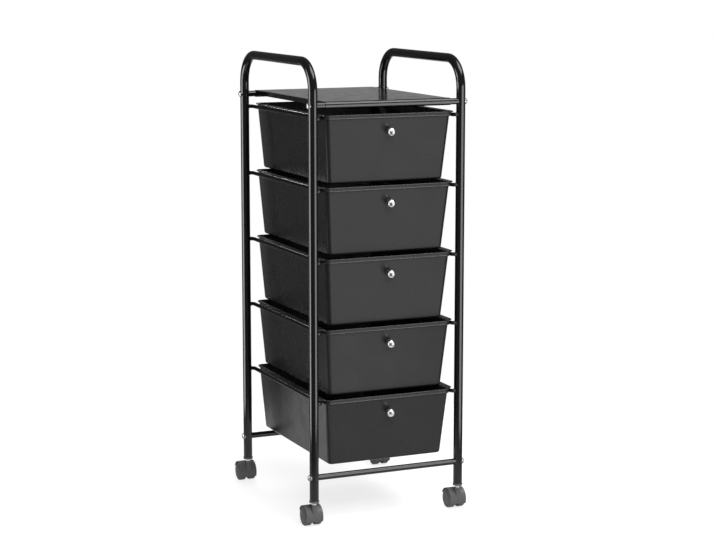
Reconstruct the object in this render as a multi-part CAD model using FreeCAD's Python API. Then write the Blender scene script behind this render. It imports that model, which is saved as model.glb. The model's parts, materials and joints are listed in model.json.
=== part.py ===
import FreeCAD, Part
import math
import os

# Rolling drawer cart in millimetres, +Z up, drawers open towards -Y.
# It stands on the floor at Z 0 with the origin under the middle of its box.
# The heights stack up from the floor: caster, tube end, bottom bar, drawers, top bar, handles.

Vector = FreeCAD.Vector
X_AXIS = Vector(1, 0, 0)
Z_AXIS = Vector(0, 0, 1)
LEVEL_TOLERANCE = 0.1

# Side frames of bent tube
POST_PITCH_X = 330.0
POST_PITCH_Y = 385.0
TUBE_DIAMETER = 19.0
TUBE_WALL = 1.2
HANDLE_BEND_RADIUS = 60.0
HANDLE_RISE = 95.5

# Crossbars, end plugs and bolts
BAR_DIAMETER = 12.7
BAR_WALL = 1.2
BOLT_DIAMETER = 6.0
BOLT_HOLE_GAP = 0.2
BOLT_HEAD_DIAMETER = 13.0
BOLT_HEAD_RIM = 1.2
BOLT_HEAD_DOME = 3.4
BOLT_REACH = 12.0
PLUG_LENGTH = 16.0
PLUG_SETBACK = 1.0
FIXED_FIT_GAP = 0.05

# Top panel of folded sheet, hooked over the top bars
PANEL_THICKNESS = 1.0
PANEL_SKIRT = 10.0
PANEL_FOLD_RADIUS = 2.5
PANEL_SIDE_GAP = 15.5
PANEL_HOOK_GAP = 0.15
PANEL_FOLD_END_GAP = 2.0
PANEL_TO_DRAWER = 13.65

# Drawer rails of bent rod
RAIL_DIAMETER = 8.0
RAIL_TO_POST = 3.0
RAIL_BEND_RADIUS = 8.0

# Drawers
DRAWER_COUNT = 5
DRAWER_HEIGHT = 140.0
DRAWER_GAP = 5.5
DRAWER_WALL = 2.2
DRAWER_FLOOR = 2.4
DRAWER_CORNER_RADIUS = 10.0
DRAWER_BOTTOM_RADIUS = 4.5
DRAWER_RAIL_GAP = 5.0
SIDE_DRAFT = 4.5
FRONT_DRAFT = 6.2
REAR_DRAFT = 3.5
FLANGE_THICKNESS = 3.0
FLANGE_SIDE_GAP = 1.6
FLANGE_FRONT_REACH = 10.3
FLANGE_REAR_REACH = 1.0
WING_CORNER_RADIUS = 5.0
WING_FRONT_SETBACK = 9.0
WING_REAR_SETBACK = 70.0
FLANGE_EDGE_RADIUS = 1.0
FLANGE_REST_GAP = 0.3
RIM_OVERHANG = 2.5
REAR_OVERHANG = 4.0
LIP_HEIGHT = 8.0
LIP_THICKNESS = 2.0
LIP_RETURN = 32.3
LOWEST_DRAWER_GAP = 14.65

# Drawer knobs and their screws
KNOB_BALL_DIAMETER = 19.0
KNOB_PROJECTION = 21.0
KNOB_BASE_DIAMETER = 12.0
KNOB_BASE_HEIGHT = 1.4
KNOB_NECK_DIAMETER = 7.0
KNOB_DROP = 35.5
SCREW_DIAMETER = 4.0
SCREW_REACH = 9.0
SCREW_HEAD_DIAMETER = 8.0
SCREW_HEAD_HEIGHT = 2.6
SCREW_HOLE_GAP = 0.2

# Casters with twin wheels
WHEEL_DIAMETER = 40.0
WHEEL_WIDTH = 14.0
WHEEL_EDGE_RADIUS = 2.5
WHEEL_DOME = 1.5
WHEEL_RIM_THICKNESS = 3.5
WHEEL_HUB_DIAMETER = 13.0
WHEEL_RECESS = 5.0
WHEEL_CAP_THICKNESS = 4.0
WHEEL_SIDE_GAP = 0.5
AXLE_DIAMETER = 6.0
AXLE_END_GAP = 0.4
RUNNING_GAP = 0.06
WEB_THICKNESS = 7.0
WEB_DIAMETER = 20.0
CASTER_TRAIL = 17.0
HOOD_GAP = 0.8
HOOD_WALL = 2.0
HOOD_TILT = 25.0
BOSS_WALL = 2.5
BOSS_RISE = 3.7
STEM_DIAMETER = 8.0
STEM_COLLAR_RIM = 0.75
STEM_COLLAR_HEIGHT = 5.3
STEM_FLOOR = 1.0
STEM_TIP_CHAMFER = 1.0
THRUST_GAP = 0.2
SOCKET_RIM = 0.8
SOCKET_RIM_HEIGHT = 4.0
SOCKET_LENGTH = 38.0
SOCKET_TO_BOLT = 7.0

# Radii and places worked out from the sizes above
TUBE_R = TUBE_DIAMETER / 2
BAR_R = BAR_DIAMETER / 2
BOLT_R = BOLT_DIAMETER / 2
RAIL_R = RAIL_DIAMETER / 2
STEM_R = STEM_DIAMETER / 2
AXLE_R = AXLE_DIAMETER / 2
SCREW_R = SCREW_DIAMETER / 2
WHEEL_R = WHEEL_DIAMETER / 2
POST_X = POST_PITCH_X / 2
POST_Y = POST_PITCH_Y / 2
POST_INNER_X = POST_X - TUBE_R
RAIL_X = POST_INNER_X - RAIL_TO_POST - RAIL_R
RAIL_INNER_X = RAIL_X - RAIL_R
FLANGE_X = POST_INNER_X - FLANGE_SIDE_GAP
BODY_X = RAIL_INNER_X - DRAWER_RAIL_GAP
RIM_X = BODY_X + RIM_OVERHANG
RIM_CORNER_RADIUS = DRAWER_CORNER_RADIUS + RIM_OVERHANG
PANEL_X = POST_INNER_X - PANEL_SIDE_GAP
FLANGE_FRONT_Y = -POST_Y - FLANGE_FRONT_REACH
FLANGE_REAR_Y = POST_Y + FLANGE_REAR_REACH
WING_FRONT_Y = WING_FRONT_SETBACK - POST_Y
WING_REAR_Y = POST_Y - WING_REAR_SETBACK
BODY_FRONT_Y = FLANGE_FRONT_Y + RIM_OVERHANG
BODY_REAR_Y = FLANGE_REAR_Y - REAR_OVERHANG
CAVITY_R = WHEEL_R + HOOD_GAP
HOOD_R = CAVITY_R + HOOD_WALL
WHEEL_INNER_X = WEB_THICKNESS / 2 + WHEEL_SIDE_GAP
WHEEL_OUTER_X = WHEEL_INNER_X + WHEEL_WIDTH
BOSS_TOP_Z = WHEEL_R + HOOD_R + BOSS_RISE
COLLAR_TOP_Z = BOSS_TOP_Z + STEM_COLLAR_HEIGHT
SOCKET_Z = COLLAR_TOP_Z + THRUST_GAP
TUBE_END_Z = SOCKET_Z + SOCKET_RIM_HEIGHT
BOTTOM_BAR_Z = TUBE_END_Z + SOCKET_LENGTH + SOCKET_TO_BOLT + BOLT_R
LOWEST_DRAWER_Z = BOTTOM_BAR_Z + BAR_R + LOWEST_DRAWER_GAP
DRAWER_PITCH = DRAWER_HEIGHT + DRAWER_GAP
TOP_DRAWER_TOP_Z = LOWEST_DRAWER_Z + DRAWER_COUNT * DRAWER_PITCH - DRAWER_GAP
TOP_BAR_Z = TOP_DRAWER_TOP_Z + PANEL_TO_DRAWER + BAR_R
HANDLE_Z = TOP_BAR_Z + HANDLE_RISE - TUBE_R

SIDES = {"left": -1, "right": 1}
ENDS = {"front": -1, "rear": 1}
BAR_HEIGHTS = {"top": TOP_BAR_Z, "bottom": BOTTOM_BAR_Z}


def cylinder_x(radius, x_from, x_to, y, z):
    """Solid cylinder along X between two X positions, in either order."""
    low, high = sorted((x_from, x_to))
    return Part.makeCylinder(radius, high - low, Vector(low, y, z), X_AXIS)


def cylinder_z(radius, z_from, z_to, x=0.0, y=0.0):
    """Solid cylinder along Z between two heights."""
    return Part.makeCylinder(radius, z_to - z_from, Vector(x, y, z_from), Z_AXIS)


def swept_rod(edges, radius):
    """Round rod whose centre line follows the joined edges."""
    path = Part.Wire(edges)
    start = edges[0].firstVertex().Point
    heading = edges[0].tangentAt(edges[0].FirstParameter)
    section = Part.Wire(Part.Circle(start, heading, radius).toShape())
    return path.makePipeShell([section], True, True)


def line(start, end):
    """Straight edge."""
    return Part.LineSegment(start, end).toShape()


def quarter_turn(start, corner, end):
    """Quarter circle from start to end, rounding the corner between them."""
    centre = start + end - corner
    radius = (start - centre).Length
    middle = centre + (corner - centre).normalize() * radius
    return Part.Arc(start, middle, end).toShape()


def revolved(edges, axis):
    """Solid made by turning a closed outline about an axis through the origin."""
    face = Part.Face(Part.Wire(edges))
    return face.revolve(Vector(0, 0, 0), axis, 360)


def posts(side, radius):
    """Both upright centre lines of one side as solid cylinders, for holes and coped ends."""
    uprights = [cylinder_z(radius, 0, HANDLE_Z, side * POST_X, end * POST_Y) for end in ENDS.values()]
    return Part.makeCompound(uprights)


def handle_path(side):
    """Centre line of one side frame: up the front post, over the handle and down the rear post."""
    x = side * POST_X
    bend = HANDLE_BEND_RADIUS
    shoulder = HANDLE_Z - bend
    foot_front = Vector(x, -POST_Y, TUBE_END_Z)
    rise_front = Vector(x, -POST_Y, shoulder)
    bar_front = Vector(x, -POST_Y + bend, HANDLE_Z)
    bar_rear = Vector(x, POST_Y - bend, HANDLE_Z)
    rise_rear = Vector(x, POST_Y, shoulder)
    foot_rear = Vector(x, POST_Y, TUBE_END_Z)
    return [
        line(foot_front, rise_front),
        quarter_turn(rise_front, Vector(x, -POST_Y, HANDLE_Z), bar_front),
        line(bar_front, bar_rear),
        quarter_turn(bar_rear, Vector(x, POST_Y, HANDLE_Z), rise_rear),
        line(rise_rear, foot_rear),
    ]


def side_frame(side):
    """Inverted U of round tube with a bolt hole through each post at each crossbar."""
    path = handle_path(side)
    frame = swept_rod(path, TUBE_R).cut(swept_rod(path, TUBE_R - TUBE_WALL))
    outside = side * (POST_X + TUBE_DIAMETER)
    inside = side * (POST_X - TUBE_DIAMETER)
    for end in ENDS.values():
        for height in BAR_HEIGHTS.values():
            hole = cylinder_x(BOLT_R + BOLT_HOLE_GAP, outside, inside, end * POST_Y, height)
            frame = frame.cut(hole)
    return frame


def rail(side, height):
    """Rod along a row of drawers, with both ends turned outwards and coped to the posts."""
    post_x = side * POST_X
    x = side * RAIL_X
    bend_x = side * (RAIL_X + RAIL_BEND_RADIUS)
    bend_y = POST_Y - RAIL_BEND_RADIUS
    front = [Vector(post_x, -POST_Y, height), Vector(bend_x, -POST_Y, height), Vector(x, -bend_y, height)]
    rear = [Vector(x, bend_y, height), Vector(bend_x, POST_Y, height), Vector(post_x, POST_Y, height)]
    rod = swept_rod([
        line(front[0], front[1]),
        quarter_turn(front[1], Vector(x, -POST_Y, height), front[2]),
        line(front[2], rear[0]),
        quarter_turn(rear[0], Vector(x, POST_Y, height), rear[1]),
        line(rear[1], rear[2]),
    ], RAIL_R)
    return rod.cut(posts(side, TUBE_R))


def crossbar(end, height):
    """Tube between the left and right posts, coped to both."""
    y = end * POST_Y
    bar = cylinder_x(BAR_R, -POST_X, POST_X, y, height)
    bar = bar.cut(cylinder_x(BAR_R - BAR_WALL, -POST_X, POST_X, y, height))
    for side in SIDES.values():
        bar = bar.cut(posts(side, TUBE_R))
    return bar


def bar_plug(side, end, height):
    """Threaded plug fixed inside one end of a crossbar."""
    mouth = side * (POST_INNER_X - PLUG_SETBACK)
    depth = mouth - side * PLUG_LENGTH
    y = end * POST_Y
    plug = cylinder_x(BAR_R - BAR_WALL - FIXED_FIT_GAP, mouth, depth, y, height)
    return plug.cut(cylinder_x(BOLT_R + FIXED_FIT_GAP, mouth, depth, y, height))


def dome_middle(radius, dome):
    """Radius and drop below the crown of the point half way along a spherical dome."""
    sphere_r = (radius ** 2 + dome ** 2) / (2 * dome)
    half_angle = math.asin(radius / sphere_r) / 2
    return sphere_r * math.sin(half_angle), sphere_r * (1 - math.cos(half_angle))


def domed_head(radius, rim, dome):
    """Round head about +Z: a straight rim with a spherical dome over it."""
    crown = rim + dome
    middle_r, middle_drop = dome_middle(radius, dome)
    middle = Vector(middle_r, 0, crown - middle_drop)
    centre = Vector(0, 0, 0)
    edge_low = Vector(radius, 0, 0)
    edge_high = Vector(radius, 0, rim)
    top = Vector(0, 0, crown)
    return revolved([
        line(centre, edge_low),
        line(edge_low, edge_high),
        Part.Arc(edge_high, middle, top).toShape(),
        line(top, centre),
    ], Z_AXIS)


def crossbar_bolt(side, end, height):
    """Domed bolt seated on the outside of a post and screwed into the crossbar's plug."""
    head = domed_head(BOLT_HEAD_DIAMETER / 2, TUBE_R + BOLT_HEAD_RIM, BOLT_HEAD_DOME)
    head.rotate(Vector(0, 0, 0), Vector(0, 1, 0), side * 90)
    head.translate(Vector(side * POST_X, end * POST_Y, height))
    beyond_post = Part.makeBox(
        POST_X, BOLT_HEAD_DIAMETER, BOLT_HEAD_DIAMETER,
        Vector(min(side, 0) * POST_X, -BOLT_HEAD_DIAMETER / 2, -BOLT_HEAD_DIAMETER / 2),
    )
    beyond_post.translate(Vector(side * POST_X, end * POST_Y, height))
    head = head.common(beyond_post).cut(posts(side, TUBE_R))
    tip = side * (POST_INNER_X - PLUG_SETBACK - BOLT_REACH)
    shank = cylinder_x(BOLT_R, side * (POST_X + TUBE_R + BOLT_HEAD_RIM), tip, end * POST_Y, height)
    return head.fuse(shank).removeSplitter()


def panel_strip(inset):
    """Outline across the panel, front to rear, with a half round hook at each end."""
    radius = BAR_R + PANEL_HOOK_GAP + inset
    low = TOP_BAR_Z - radius
    high = TOP_BAR_Z + radius
    front = [Vector(0, -POST_Y, low), Vector(0, -POST_Y - radius, TOP_BAR_Z), Vector(0, -POST_Y, high)]
    rear = [Vector(0, POST_Y, high), Vector(0, POST_Y + radius, TOP_BAR_Z), Vector(0, POST_Y, low)]
    return [Part.Arc(*front).toShape(), line(front[2], rear[0]), Part.Arc(*rear).toShape()]


def top_panel():
    """Sheet panel hooked over both top bars, with its two sides folded down."""
    outer = panel_strip(PANEL_THICKNESS)
    inner = panel_strip(0.0)
    ends = [line(outer[i].Vertexes[v].Point, inner[i].Vertexes[v].Point) for i, v in ((0, 0), (2, 1))]
    section = Part.Face(Part.Wire(Part.__sortEdges__(outer + inner + ends)))
    sheet = section.extrude(Vector(2 * PANEL_X, 0, 0))
    sheet.translate(Vector(-PANEL_X, 0, 0))
    top = TOP_BAR_Z + BAR_R + PANEL_HOOK_GAP + PANEL_THICKNESS
    fold_y = POST_Y - BAR_R - PANEL_HOOK_GAP - PANEL_FOLD_END_GAP
    for side in SIDES.values():
        sheet = sheet.cut(panel_fold_blank(side, top, fold_y)).fuse(panel_fold(side, top, fold_y))
    return sheet.removeSplitter()


def panel_fold_blank(side, top, fold_y):
    """Strip of the flat sheet that becomes a folded side."""
    low = min(side * PANEL_X, side * (PANEL_X - PANEL_FOLD_RADIUS))
    return Part.makeBox(
        PANEL_FOLD_RADIUS, 2 * fold_y, PANEL_THICKNESS, Vector(low, -fold_y, top - PANEL_THICKNESS)
    )


def panel_fold(side, top, fold_y):
    """One side of the panel: a rounded fold and the skirt below it."""
    x = side * PANEL_X
    inner_x = side * (PANEL_X - PANEL_THICKNESS)
    flat_x = side * (PANEL_X - PANEL_FOLD_RADIUS)
    under = top - PANEL_THICKNESS
    bend_z = top - PANEL_FOLD_RADIUS
    skirt_z = top - PANEL_SKIRT
    outer_flat = Vector(flat_x, -fold_y, top)
    outer_bend = Vector(x, -fold_y, bend_z)
    outer_skirt = Vector(x, -fold_y, skirt_z)
    inner_skirt = Vector(inner_x, -fold_y, skirt_z)
    inner_bend = Vector(inner_x, -fold_y, bend_z)
    inner_flat = Vector(flat_x, -fold_y, under)
    section = Part.Face(Part.Wire([
        quarter_turn(outer_flat, Vector(x, -fold_y, top), outer_bend),
        line(outer_bend, outer_skirt),
        line(outer_skirt, inner_skirt),
        line(inner_skirt, inner_bend),
        quarter_turn(inner_bend, Vector(inner_x, -fold_y, under), inner_flat),
        line(inner_flat, outer_flat),
    ]))
    return section.extrude(Vector(0, 2 * fold_y, 0))


def rounded_outline(half, z):
    """Wire at one height round the square corners of its right half and their mirror images."""
    corners = half + [(-x, y, radius) for x, y, radius in reversed(half)]
    points = [Vector(x, y, z) for x, y, radius in corners]
    entries, exits = [], []
    for index, corner in enumerate(points):
        radius = corners[index][2]
        after = points[(index + 1) % len(points)]
        entries.append(corner + (points[index - 1] - corner).normalize() * radius)
        exits.append(corner + (after - corner).normalize() * radius)
    edges = []
    for index, corner in enumerate(points):
        edges.append(quarter_turn(entries[index], corner, exits[index]))
        edges.append(line(exits[index], entries[(index + 1) % len(points)]))
    return Part.Wire(edges)


def edges_between(shape, low_z, high_z):
    """Edges of a shape whose lowest and highest points are at two heights."""
    edges = []
    for edge in shape.Edges:
        box = edge.BoundBox
        if max(abs(box.ZMin - low_z), abs(box.ZMax - high_z)) < LEVEL_TOLERANCE:
            edges.append(edge)
    return edges


def taper(drop, draft):
    """How far a drafted wall has moved inwards at a drop below the drawer's top."""
    return drop * math.tan(math.radians(draft))


def tapered_body(top_z, high_z, low_z, inset):
    """Tapered solid between two heights with rounded corners and bottom edges."""
    limits = []
    for z in (low_z, high_z):
        half_width = BODY_X - taper(top_z - z, SIDE_DRAFT) - inset
        front = BODY_FRONT_Y + taper(top_z - z, FRONT_DRAFT) + inset
        rear = BODY_REAR_Y - taper(top_z - z, REAR_DRAFT) - inset
        limits.append((half_width, front, rear))
    (low_x, low_front, low_rear), (high_x, high_front, high_rear) = limits
    body = Part.makeWedge(
        -low_x, low_z, -low_rear, -high_rear, -high_x, low_x, high_z, -low_front, -high_front, high_x
    )
    body.rotate(Vector(0, 0, 0), X_AXIS, 90)
    body = body.makeFillet(DRAWER_CORNER_RADIUS - inset, edges_between(body, low_z, high_z))
    return body.makeFillet(DRAWER_BOTTOM_RADIUS - inset, edges_between(body, low_z, low_z))


def flange_plate(top_z):
    """Flange of the drawer: a narrow rim all round and a wing each side that rests on the rail."""
    half = [
        (RIM_X, FLANGE_FRONT_Y, RIM_CORNER_RADIUS),
        (RIM_X, WING_FRONT_Y, WING_CORNER_RADIUS),
        (FLANGE_X, WING_FRONT_Y, WING_CORNER_RADIUS),
        (FLANGE_X, WING_REAR_Y, WING_CORNER_RADIUS),
        (RIM_X, WING_REAR_Y, WING_CORNER_RADIUS),
        (RIM_X, FLANGE_REAR_Y, RIM_CORNER_RADIUS),
    ]
    wire = rounded_outline(half, top_z - FLANGE_THICKNESS)
    return Part.Face(wire).extrude(Vector(0, 0, FLANGE_THICKNESS))


def rim_block(top_z, inset):
    """Block under the front of the rim and the start of its sides, drawn in by an inset."""
    front, radius = FLANGE_FRONT_Y + inset, RIM_CORNER_RADIUS - inset
    half = [(RIM_X - inset, front, radius), (RIM_X - inset, FLANGE_REAR_Y, radius)]
    block = Part.Face(rounded_outline(half, top_z - LIP_HEIGHT)).extrude(Vector(0, 0, LIP_HEIGHT))
    reach = Part.makeBox(
        2 * RIM_X, LIP_RETURN, LIP_HEIGHT, Vector(-RIM_X, FLANGE_FRONT_Y, top_z - LIP_HEIGHT)
    )
    return block.common(reach)


def front_lip(top_z):
    """Turned down lip under the rim, round the front and its two corners."""
    return rim_block(top_z, 0).cut(rim_block(top_z, LIP_THICKNESS))


def knob_place(top_z):
    """Placement of a knob on the sloping front: its local +Z points out of the face."""
    slope = math.radians(FRONT_DRAFT)
    seat = Vector(0, BODY_FRONT_Y + KNOB_DROP * math.tan(slope), top_z - KNOB_DROP)
    outwards = Vector(0, -math.cos(slope), -math.sin(slope))
    return FreeCAD.Placement(seat, FreeCAD.Rotation(Z_AXIS, outwards))


def drawer(top_z):
    """Tapered open box with a flange that rests on the rails and a lip along its front."""
    floor_z = top_z - DRAWER_HEIGHT
    flange = flange_plate(top_z)
    flange = flange.makeFillet(FLANGE_EDGE_RADIUS, edges_between(flange, top_z, top_z))
    lip = front_lip(top_z - FLANGE_EDGE_RADIUS)
    outside = tapered_body(top_z, top_z - FLANGE_EDGE_RADIUS, floor_z, 0.0)
    inside = tapered_body(top_z, top_z + FLANGE_THICKNESS, floor_z + DRAWER_FLOOR, DRAWER_WALL)
    hole = cylinder_z(SCREW_R + SCREW_HOLE_GAP, -2 * DRAWER_WALL, DRAWER_WALL)
    hole.Placement = knob_place(top_z)
    return outside.fuse([flange, lip]).cut(inside).cut(hole).removeSplitter()


def knob(top_z):
    """Ball knob on a flared neck, bored from behind for its screw."""
    ball_r = KNOB_BALL_DIAMETER / 2
    neck_r = KNOB_NECK_DIAMETER / 2
    base_r = KNOB_BASE_DIAMETER / 2
    ball_z = KNOB_PROJECTION - ball_r
    neck_top = ball_z - math.sqrt(ball_r ** 2 - neck_r ** 2)
    flare_z = (KNOB_BASE_HEIGHT + neck_top) / 2
    start = Vector(0, 0, 0)
    base_low = Vector(base_r, 0, 0)
    base_high = Vector(base_r, 0, KNOB_BASE_HEIGHT)
    flare = Vector(neck_r, 0, flare_z)
    neck = Vector(neck_r, 0, neck_top)
    equator = Vector(ball_r, 0, ball_z)
    tip = Vector(0, 0, KNOB_PROJECTION)
    body = revolved([
        line(start, base_low),
        line(base_low, base_high),
        line(base_high, flare),
        line(flare, neck),
        Part.Arc(neck, equator, tip).toShape(),
        line(tip, start),
    ], Z_AXIS)
    body = body.cut(cylinder_z(SCREW_R + FIXED_FIT_GAP, 0, SCREW_REACH + SCREW_R))
    body.Placement = knob_place(top_z)
    return body


def knob_screw(top_z):
    """Pan head screw that holds a knob from inside the drawer."""
    head = domed_head(SCREW_HEAD_DIAMETER / 2, SCREW_HEAD_HEIGHT / 2, SCREW_HEAD_HEIGHT / 2)
    head.rotate(Vector(0, 0, 0), X_AXIS, 180)
    head.translate(Vector(0, 0, -DRAWER_WALL))
    screw = head.fuse(cylinder_z(SCREW_R, -DRAWER_WALL, SCREW_REACH)).removeSplitter()
    screw.Placement = knob_place(top_z)
    return screw


def caster_socket():
    """Plug in the foot of a post with a rim under the tube and a bore for the stem."""
    rim = cylinder_z(TUBE_R + SOCKET_RIM, SOCKET_Z, TUBE_END_Z)
    plug = cylinder_z(TUBE_R - TUBE_WALL - FIXED_FIT_GAP, TUBE_END_Z, TUBE_END_Z + SOCKET_LENGTH)
    bore = cylinder_z(STEM_R + RUNNING_GAP, SOCKET_Z, TUBE_END_Z + SOCKET_LENGTH)
    return rim.fuse(plug).cut(bore).removeSplitter()


def stem_foot_z():
    """Lowest height at which the stem still clears the wheels' space."""
    reach = CASTER_TRAIL - STEM_R
    return WHEEL_R + math.sqrt(CAVITY_R ** 2 - reach ** 2) + STEM_FLOOR


def caster_stem():
    """Stem fixed in the hood's boss, with a collar under the socket and a chamfered tip."""
    tip_z = TUBE_END_Z + SOCKET_LENGTH
    rod = cylinder_z(STEM_R, stem_foot_z(), tip_z - STEM_TIP_CHAMFER)
    tip = Part.makeCone(
        STEM_R, STEM_R - STEM_TIP_CHAMFER, STEM_TIP_CHAMFER, Vector(0, 0, tip_z - STEM_TIP_CHAMFER)
    )
    collar = cylinder_z(STEM_R + STEM_COLLAR_RIM, BOSS_TOP_Z, COLLAR_TOP_Z)
    return rod.fuse([tip, collar]).removeSplitter()


def caster_hood():
    """Hood over the front and top of both wheels, with a web between them and a boss for the stem."""
    shell = cylinder_x(HOOD_R, -WHEEL_OUTER_X, WHEEL_OUTER_X, CASTER_TRAIL, WHEEL_R)
    below = Part.makeBox(
        2 * WHEEL_DIAMETER, 2 * WHEEL_DIAMETER, WHEEL_DIAMETER,
        Vector(-WHEEL_DIAMETER, -WHEEL_DIAMETER, -WHEEL_DIAMETER),
    )
    below.rotate(Vector(0, 0, 0), X_AXIS, HOOD_TILT)
    below.translate(Vector(0, CASTER_TRAIL, WHEEL_R))
    shell = shell.cut(below)
    boss = cylinder_z(STEM_R + BOSS_WALL, WHEEL_R, BOSS_TOP_Z)
    hood = shell.fuse(boss)
    for side in SIDES.values():
        inner_x = side * WEB_THICKNESS / 2
        hood = hood.cut(cylinder_x(CAVITY_R, inner_x, side * WHEEL_DIAMETER, CASTER_TRAIL, WHEEL_R))
    web = cylinder_x(WEB_DIAMETER / 2, -WEB_THICKNESS / 2, WEB_THICKNESS / 2, CASTER_TRAIL, WHEEL_R)
    hood = hood.fuse(web)
    axle_bore = cylinder_x(AXLE_R + FIXED_FIT_GAP, -WEB_THICKNESS, WEB_THICKNESS, CASTER_TRAIL, WHEEL_R)
    stem_bore = cylinder_z(STEM_R + FIXED_FIT_GAP, stem_foot_z(), BOSS_TOP_Z)
    return hood.cut([axle_bore, stem_bore]).removeSplitter()


def caster_axle():
    """Pin through the hood's web that both wheels turn on."""
    half = WHEEL_OUTER_X - WHEEL_CAP_THICKNESS - AXLE_END_GAP
    return cylinder_x(AXLE_R, -half, half, CASTER_TRAIL, WHEEL_R)


def caster_wheel(side):
    """Wheel with a rounded tread, a recess on its inner side and a domed closed outer side."""
    rim_r = WHEEL_R - WHEEL_RIM_THICKNESS
    hub_r = WHEEL_HUB_DIAMETER / 2
    bore_r = AXLE_R + RUNNING_GAP
    bore_end = WHEEL_WIDTH - WHEEL_CAP_THICKNESS
    edge = WHEEL_EDGE_RADIUS
    cap_r = WHEEL_R - edge
    apex = WHEEL_WIDTH + WHEEL_DOME
    middle_r, middle_drop = dome_middle(cap_r, WHEEL_DOME)
    inside = [
        Vector(apex, 0, 0), Vector(bore_end, 0, 0), Vector(bore_end, 0, bore_r), Vector(0, 0, bore_r),
        Vector(0, 0, hub_r), Vector(WHEEL_RECESS, 0, hub_r), Vector(WHEEL_RECESS, 0, rim_r),
        Vector(0, 0, rim_r), Vector(0, 0, WHEEL_R - edge),
    ]
    tread_in = Vector(edge, 0, WHEEL_R)
    tread_out = Vector(WHEEL_WIDTH - edge, 0, WHEEL_R)
    cap_edge = Vector(WHEEL_WIDTH, 0, cap_r)
    edges = [line(a, b) for a, b in zip(inside, inside[1:])]
    edges += [
        quarter_turn(inside[-1], Vector(0, 0, WHEEL_R), tread_in),
        line(tread_in, tread_out),
        quarter_turn(tread_out, Vector(WHEEL_WIDTH, 0, WHEEL_R), cap_edge),
        Part.Arc(cap_edge, Vector(apex - middle_drop, 0, middle_r), inside[0]).toShape(),
    ]
    wheel = revolved(edges, X_AXIS)
    if side < 0:
        wheel.rotate(Vector(0, 0, 0), Z_AXIS, 180)
    wheel.translate(Vector(side * WHEEL_INNER_X, CASTER_TRAIL, WHEEL_R))
    return wheel


def caster(corner, x, y):
    """All pieces of one caster, moved under its post."""
    pieces = {
        f"caster_socket_{corner}": caster_socket(),
        f"caster_stem_{corner}": caster_stem(),
        f"caster_hood_{corner}": caster_hood(),
        f"caster_axle_{corner}": caster_axle(),
    }
    for name, side in SIDES.items():
        pieces[f"caster_wheel_{corner}_{name}"] = caster_wheel(side)
    for piece in pieces.values():
        piece.translate(Vector(x, y, 0))
    return pieces


def frame_pieces():
    """Side frames, crossbars and the pieces that hold them together."""
    pieces = {f"{name}_side_frame": side_frame(side) for name, side in SIDES.items()}
    bolts, plugs = [], []
    for level, height in BAR_HEIGHTS.items():
        for end_name, end in ENDS.items():
            pieces[f"{level}_{end_name}_crossbar"] = crossbar(end, height)
            bolts += [crossbar_bolt(side, end, height) for side in SIDES.values()]
            plugs += [bar_plug(side, end, height) for side in SIDES.values()]
    pieces["crossbar_bolts"] = Part.makeCompound(bolts)
    pieces["crossbar_plugs"] = Part.makeCompound(plugs)
    pieces["top_panel"] = top_panel()
    return pieces


def drawer_pieces(number):
    """One drawer, counted from the top, with its rails, knob and screw."""
    top_z = TOP_DRAWER_TOP_Z - (number - 1) * DRAWER_PITCH
    rail_z = top_z - FLANGE_THICKNESS - FLANGE_REST_GAP - RAIL_R
    pieces = {f"drawer_rail_{number}_{name}": rail(side, rail_z) for name, side in SIDES.items()}
    pieces[f"drawer_{number}"] = drawer(top_z)
    pieces[f"drawer_knob_{number}"] = knob(top_z)
    pieces[f"knob_screw_{number}"] = knob_screw(top_z)
    return pieces


def build():
    """Every piece by name, with the origin under the middle of the cart's box."""
    pieces = frame_pieces()
    for number in range(1, DRAWER_COUNT + 1):
        pieces.update(drawer_pieces(number))
    for end_name, end in ENDS.items():
        for side_name, side in SIDES.items():
            pieces.update(caster(f"{end_name}_{side_name}", side * POST_X, end * POST_Y))
    box = Part.makeCompound(list(pieces.values())).optimalBoundingBox(False, False)
    for piece in pieces.values():
        piece.translate(Vector(0, -box.Center.y, 0))
    return pieces


def export(pieces):
    """Write one file per piece."""
    os.makedirs("parts", exist_ok=True)
    for name, piece in pieces.items():
        piece.exportStep(f"parts/{name}.step")


export(build())
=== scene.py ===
import json
import math

import bmesh
import bpy
from bpy.props import FloatProperty, FloatVectorProperty, PointerProperty
from mathutils import Matrix, Vector

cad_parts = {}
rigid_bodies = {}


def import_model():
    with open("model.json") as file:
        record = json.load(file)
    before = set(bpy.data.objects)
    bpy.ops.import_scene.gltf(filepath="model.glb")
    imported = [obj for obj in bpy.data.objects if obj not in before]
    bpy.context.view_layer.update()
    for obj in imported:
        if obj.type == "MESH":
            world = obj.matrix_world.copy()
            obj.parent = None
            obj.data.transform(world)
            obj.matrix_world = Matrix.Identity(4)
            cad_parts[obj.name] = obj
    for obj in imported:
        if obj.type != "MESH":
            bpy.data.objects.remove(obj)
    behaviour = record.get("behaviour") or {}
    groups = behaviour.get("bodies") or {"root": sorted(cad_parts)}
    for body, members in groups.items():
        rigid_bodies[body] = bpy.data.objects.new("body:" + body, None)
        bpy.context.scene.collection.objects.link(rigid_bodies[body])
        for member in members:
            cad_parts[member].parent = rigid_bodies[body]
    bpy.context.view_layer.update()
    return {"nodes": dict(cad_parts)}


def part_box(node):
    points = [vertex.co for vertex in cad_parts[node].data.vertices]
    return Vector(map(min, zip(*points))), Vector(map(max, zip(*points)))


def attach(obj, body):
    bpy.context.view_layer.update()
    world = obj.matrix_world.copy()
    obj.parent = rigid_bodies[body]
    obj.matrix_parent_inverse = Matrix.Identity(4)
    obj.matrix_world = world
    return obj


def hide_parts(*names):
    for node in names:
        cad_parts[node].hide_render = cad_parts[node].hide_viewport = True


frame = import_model()
NODES = frame["nodes"]

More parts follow.
